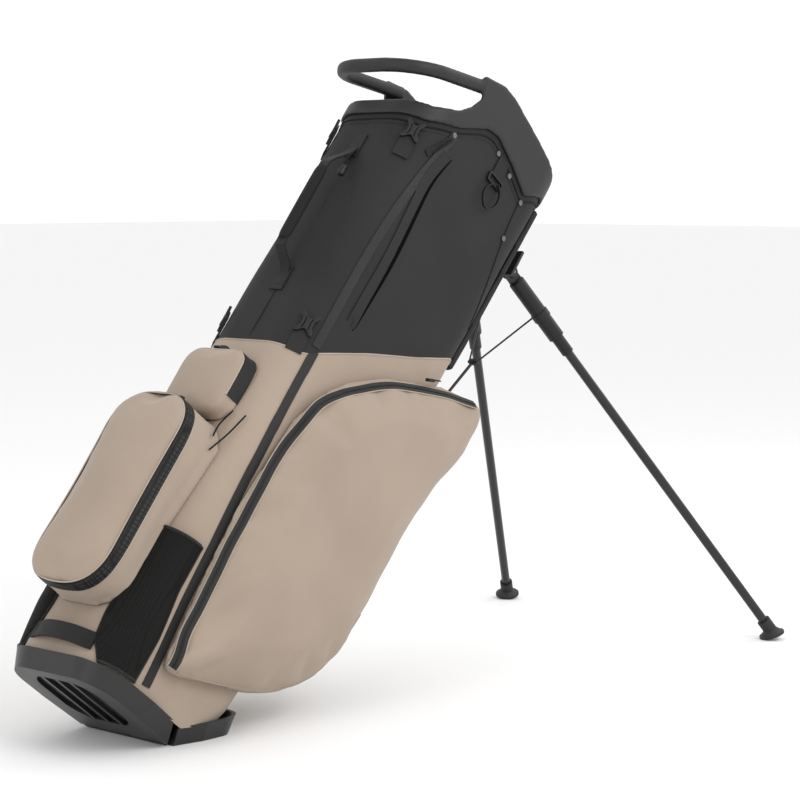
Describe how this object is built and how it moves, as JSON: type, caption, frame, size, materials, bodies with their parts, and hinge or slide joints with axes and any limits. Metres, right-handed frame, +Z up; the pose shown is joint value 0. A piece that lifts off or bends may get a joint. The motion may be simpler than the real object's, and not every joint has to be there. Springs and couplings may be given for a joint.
{
  "type": "golf stand bag",
  "caption": "Golf stand bag leaning on its folding legs, with divided top, lift handle, zipped pockets and a hinged base that works the legs.",
  "frame": {"origin": "middle of the flat sole of the folding base flap, on the ground", "axes": "+Z up, +X towards the feet of the legs, Y = 0 is the plane of symmetry of the bag's body"},
  "size_m": [1.0737, 0.4956, 0.7622],
  "materials": {
    "black_plastic": "moulded, fine texture",
    "steel": "satin",
    "black_metal": "satin black",
    "leg_metal": "satin black tube",
    "stay_rod": "pultruded rod",
    "tan_fabric": "woven, matte",
    "black_fabric": "woven, matte",
    "lining": "smooth lining",
    "mesh": "open mesh",
    "webbing": "woven webbing",
    "grip_foam": "padded sleeve",
    "rubber": "matte"
  },
  "bodies": {
    "bag": {"base_boot": "black_plastic", "crease_pin": "steel", "lower_shell": "tan_fabric", "upper_shell": "black_fabric", "top_cuff": "black_plastic", "divider_frame": "black_plastic", "divider_back": "lining", "divider_front": "lining", "divider_middle": "lining", "stay_back": "stay_rod", "stay_near": "stay_rod", "stay_far": "stay_rod", "hip_pad": "black_fabric", "leg_bracket": "black_plastic", "hinge_pins": "steel", "ball_pocket": "tan_fabric", "accessory_pocket": "tan_fabric", "apparel_pocket_near": "tan_fabric", "apparel_pocket_far": "tan_fabric", "mesh_sleeve_near": "mesh", "mesh_sleeve_far": "mesh", "handle_strap": "webbing", "handle_grip": "grip_foam", "grab_loop": "webbing", "ring_tab": "webbing", "rivets": "steel", "strap_clip_top_near": "black_plastic", "strap_clip_top_far": "black_plastic", "strap_clip_bottom_near": "black_plastic", "strap_clip_bottom_far": "black_plastic", "clip_tab_top_near": "webbing", "clip_tab_top_far": "webbing", "clip_tab_bottom_near": "webbing", "clip_tab_bottom_far": "webbing"},
    "flap": {"base_flap": "black_plastic", "rod_clevis": "black_plastic", "clevis_pin": "steel"},
    "push_rod": {"push_rod": "steel", "rod_yoke": "black_plastic"},
    "wire_near": {"leg_wire_near": "steel"},
    "wire_far": {"leg_wire_far": "steel"},
    "leg_near": {"leg_sleeve_near": "black_plastic", "leg_tube_near": "leg_metal", "leg_foot_near": "rubber", "leg_clip_near": "black_plastic"},
    "leg_far": {"leg_sleeve_far": "black_plastic", "leg_tube_far": "leg_metal", "leg_foot_far": "rubber", "leg_clip_far": "black_plastic"},
    "towel_ring": {"towel_ring": "black_metal", "glove_loop": "webbing"},
    "ball_zip_near": {"ball_zip_pull_near": "black_metal"},
    "ball_zip_far": {"ball_zip_pull_far": "black_metal"},
    "pouch_zip": {"pouch_zip_pull": "black_metal"},
    "apparel_zip_near": {"apparel_zip_pull_near": "black_metal"},
    "apparel_zip_far": {"apparel_zip_pull_far": "black_metal"}
  },
  "joints": [
    {"name": "leg_near_hinge", "type": "hinge", "parent": "bag", "child": "leg_near", "pos_m": [0.57617, -0.0368, 0.49818], "axis": [0.2381, 0.9465, -0.2177], "range_deg": [0, 76.74]},
    {"name": "leg_far_hinge", "type": "hinge", "parent": "bag", "child": "leg_far", "pos_m": [0.57617, 0.0368, 0.49818], "axis": [-0.2381, 0.9465, 0.2177], "range_deg": [0, 76.74]},
    {"name": "flap_hinge", "type": "hinge", "parent": "bag", "child": "flap", "pos_m": [-0.046, 0, 0.0034], "axis": [0, 1, 0], "range_deg": [0, 39.01]},
    {"name": "push_rod_pivot", "type": "hinge", "parent": "flap", "child": "push_rod", "pos_m": [0.062, 0, 0.019], "axis": [0, 1, 0], "range_deg": [-43.26, 0]},
    {"name": "wire_near_pivot", "type": "hinge", "parent": "push_rod", "child": "wire_near", "pos_m": [0.54725, -0.006, 0.38301], "axis": [-0.5013, -0.865, 0.0205], "range_deg": [0, 30.23]},
    {"name": "wire_far_pivot", "type": "hinge", "parent": "push_rod", "child": "wire_far", "pos_m": [0.54725, 0.006, 0.38301], "axis": [0.5013, -0.865, -0.0205], "range_deg": [0, 30.23]},
    {"name": "towel_ring_hinge", "type": "hinge", "parent": "bag", "child": "towel_ring", "pos_m": [0.49426, -0.0825, 0.61791], "axis": [-0.7771, 0, 0.6293], "range_deg": [0, 70]},
    {"name": "ball_zip_near_slide", "type": "slide", "parent": "bag", "child": "ball_zip_near", "axis": [0, 1, 0], "range_m": [-0.016, 0]},
    {"name": "ball_zip_far_slide", "type": "slide", "parent": "bag", "child": "ball_zip_far", "axis": [0, 1, 0], "range_m": [-0.008, 0.002]},
    {"name": "pouch_zip_slide", "type": "slide", "parent": "bag", "child": "pouch_zip", "axis": [0, 1, 0], "range_m": [-0.02, 0.02]},
    {"name": "apparel_zip_near_slide", "type": "slide", "parent": "bag", "child": "apparel_zip_near", "axis": [0.9819, 0, -0.1896], "range_m": [-0.045, 0.015]},
    {"name": "apparel_zip_far_slide", "type": "slide", "parent": "bag", "child": "apparel_zip_far", "axis": [0.9819, 0, -0.1896], "range_m": [-0.045, 0.015]}
  ],
  "couplings": [
    {"joint": "leg_far_hinge", "follows": "leg_near_hinge", "ratio": 1},
    {"joint": "flap_hinge", "follows": "leg_near_hinge", "ratio": 0.50821},
    {"joint": "push_rod_pivot", "follows": "leg_near_hinge", "ratio": -0.56346},
    {"joint": "wire_near_pivot", "follows": "leg_near_hinge", "ratio": 0.39369},
    {"joint": "wire_far_pivot", "follows": "leg_near_hinge", "ratio": 0.39369}
  ]
}
